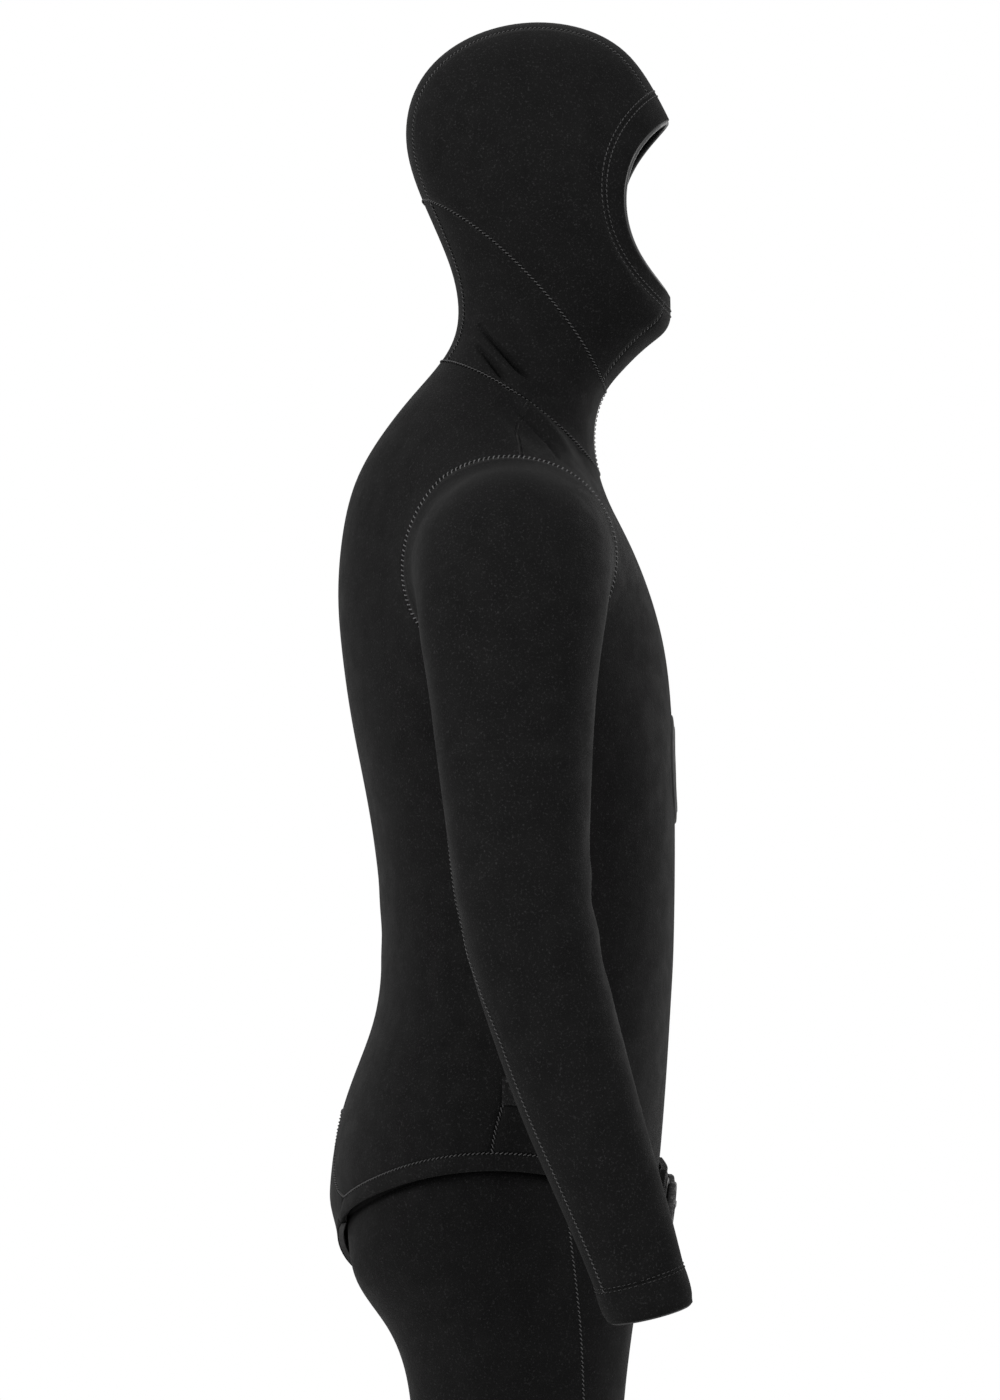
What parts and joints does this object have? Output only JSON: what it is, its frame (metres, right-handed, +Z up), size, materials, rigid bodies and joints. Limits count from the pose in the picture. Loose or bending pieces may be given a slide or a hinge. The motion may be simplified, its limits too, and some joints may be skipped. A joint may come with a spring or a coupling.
{
  "type": "two-piece hooded wetsuit",
  "caption": "Empty two-piece diving suit: hooded long-sleeved jacket with a turn-locked beavertail, over full-length pants.",
  "frame": {"origin": "on the ground plane of the ankle hems, midway between the two legs and under the middle of the neck, where a standing wearer carries the suit", "axes": "+Z up the body, -Y towards the front of the wearer, +X towards the left hand of the wearer"},
  "size_m": [0.637, 0.2674, 1.746],
  "materials": {
    "neoprene": "matte",
    "pants_neoprene": "matte",
    "hem_binding": "matte",
    "smooth_skin": "satin",
    "lock_plastic": "satin",
    "chest_pad": "satin",
    "tag": "satin"
  },
  "bodies": {
    "torso": {"jacket_front_panel": "neoprene", "jacket_back_panel": "neoprene", "leg_hem_band_right": "hem_binding", "leg_hem_band_left": "hem_binding", "beavertail_panel": "neoprene", "beavertail_fold": "neoprene", "chest_pad": "chest_pad", "side_tag": "tag", "lock_socket_right": "lock_plastic", "lock_socket_left": "lock_plastic", "lock_washer_right": "lock_plastic", "lock_washer_left": "lock_plastic", "shoulder_cap_right": "neoprene", "shoulder_cap_left": "neoprene", "neck_panel_right": "neoprene", "neck_panel_left": "neoprene", "nape_strip": "neoprene", "pants_front_panel": "pants_neoprene", "pants_seat_panel": "pants_neoprene", "pants_waistband": "pants_neoprene", "hip_panel_right": "pants_neoprene", "hip_panel_left": "pants_neoprene"},
    "hood": {"hood_crown_strip": "neoprene", "hood_side_right": "neoprene", "hood_side_left": "neoprene", "hood_chin_panel": "neoprene", "hood_face_seal": "smooth_skin"},
    "beavertail": {"beavertail_flap": "neoprene", "lock_ring_right": "lock_plastic", "lock_ring_left": "lock_plastic"},
    "upper_arm_right": {"upper_sleeve_right": "neoprene", "elbow_panel_right": "neoprene"},
    "forearm_right": {"forearm_sleeve_right": "neoprene", "wrist_cuff_right": "neoprene"},
    "thigh_right": {"thigh_panel_right": "pants_neoprene", "knee_panel_right": "pants_neoprene"},
    "shin_right": {"shin_panel_right": "pants_neoprene", "ankle_cuff_right": "pants_neoprene"},
    "knob_right": {"lock_knob_right": "lock_plastic"},
    "upper_arm_left": {"upper_sleeve_left": "neoprene", "elbow_panel_left": "neoprene"},
    "forearm_left": {"forearm_sleeve_left": "neoprene", "wrist_cuff_left": "neoprene"},
    "thigh_left": {"thigh_panel_left": "pants_neoprene", "knee_panel_left": "pants_neoprene"},
    "shin_left": {"shin_panel_left": "pants_neoprene", "ankle_cuff_left": "pants_neoprene"},
    "knob_left": {"lock_knob_left": "lock_plastic"}
  },
  "joints": [
    {"name": "hood_nod", "type": "hinge", "parent": "torso", "child": "hood", "pos_m": [0, 0, 1.455], "axis": [1, 0, 0], "range_deg": [-20, 30], "stiffness_Nm_per_rad": 5, "deforming": ["neck_panel_right", "neck_panel_left", "nape_strip"]},
    {"name": "beavertail_fold", "type": "hinge", "parent": "torso", "child": "beavertail", "pos_m": [0, -0.09, 0.782], "axis": [-1, 0, 0], "range_deg": [-110, 0], "stiffness_Nm_per_rad": 0.3, "deforming": ["beavertail_fold"]},
    {"name": "shoulder_right", "type": "hinge", "parent": "torso", "child": "upper_arm_right", "pos_m": [-0.165, -0.002, 1.331], "axis": [-1, 0, 0], "range_deg": [-30, 80], "stiffness_Nm_per_rad": 3, "deforming": ["shoulder_cap_right"]},
    {"name": "elbow_right", "type": "hinge", "parent": "upper_arm_right", "child": "forearm_right", "pos_m": [-0.248, -0.014, 1.069], "axis": [-1, 0, 0], "range_deg": [-10, 80], "stiffness_Nm_per_rad": 2, "deforming": ["elbow_panel_right"]},
    {"name": "hip_right", "type": "hinge", "parent": "torso", "child": "thigh_right", "pos_m": [-0.095, 0, 0.85], "axis": [-1, 0, 0], "range_deg": [-15, 60], "stiffness_Nm_per_rad": 4, "deforming": ["hip_panel_right"]},
    {"name": "knee_right", "type": "hinge", "parent": "thigh_right", "child": "shin_right", "pos_m": [-0.097, 0, 0.45], "axis": [1, 0, 0], "range_deg": [0, 85], "stiffness_Nm_per_rad": 2, "deforming": ["knee_panel_right"]},
    {"name": "lock_turn_right", "type": "hinge", "parent": "beavertail", "child": "knob_right", "pos_m": [-0.024, -0.11105, 0.843], "axis": [-0.0956, -0.9903, -0.1004], "range_deg": [0, 90]},
    {"name": "shoulder_left", "type": "hinge", "parent": "torso", "child": "upper_arm_left", "pos_m": [0.165, -0.002, 1.331], "axis": [-1, 0, 0], "range_deg": [-30, 80], "stiffness_Nm_per_rad": 3, "deforming": ["shoulder_cap_left"]},
    {"name": "elbow_left", "type": "hinge", "parent": "upper_arm_left", "child": "forearm_left", "pos_m": [0.248, -0.014, 1.069], "axis": [-1, 0, 0], "range_deg": [-10, 80], "stiffness_Nm_per_rad": 2, "deforming": ["elbow_panel_left"]},
    {"name": "hip_left", "type": "hinge", "parent": "torso", "child": "thigh_left", "pos_m": [0.095, 0, 0.85], "axis": [-1, 0, 0], "range_deg": [-15, 60], "stiffness_Nm_per_rad": 4, "deforming": ["hip_panel_left"]},
    {"name": "knee_left", "type": "hinge", "parent": "thigh_left", "child": "shin_left", "pos_m": [0.097, 0, 0.45], "axis": [1, 0, 0], "range_deg": [0, 85], "stiffness_Nm_per_rad": 2, "deforming": ["knee_panel_left"]},
    {"name": "lock_turn_left", "type": "hinge", "parent": "beavertail", "child": "knob_left", "pos_m": [0.024, -0.11105, 0.843], "axis": [0.0956, -0.9903, -0.1004], "range_deg": [0, 90]}
  ]
}
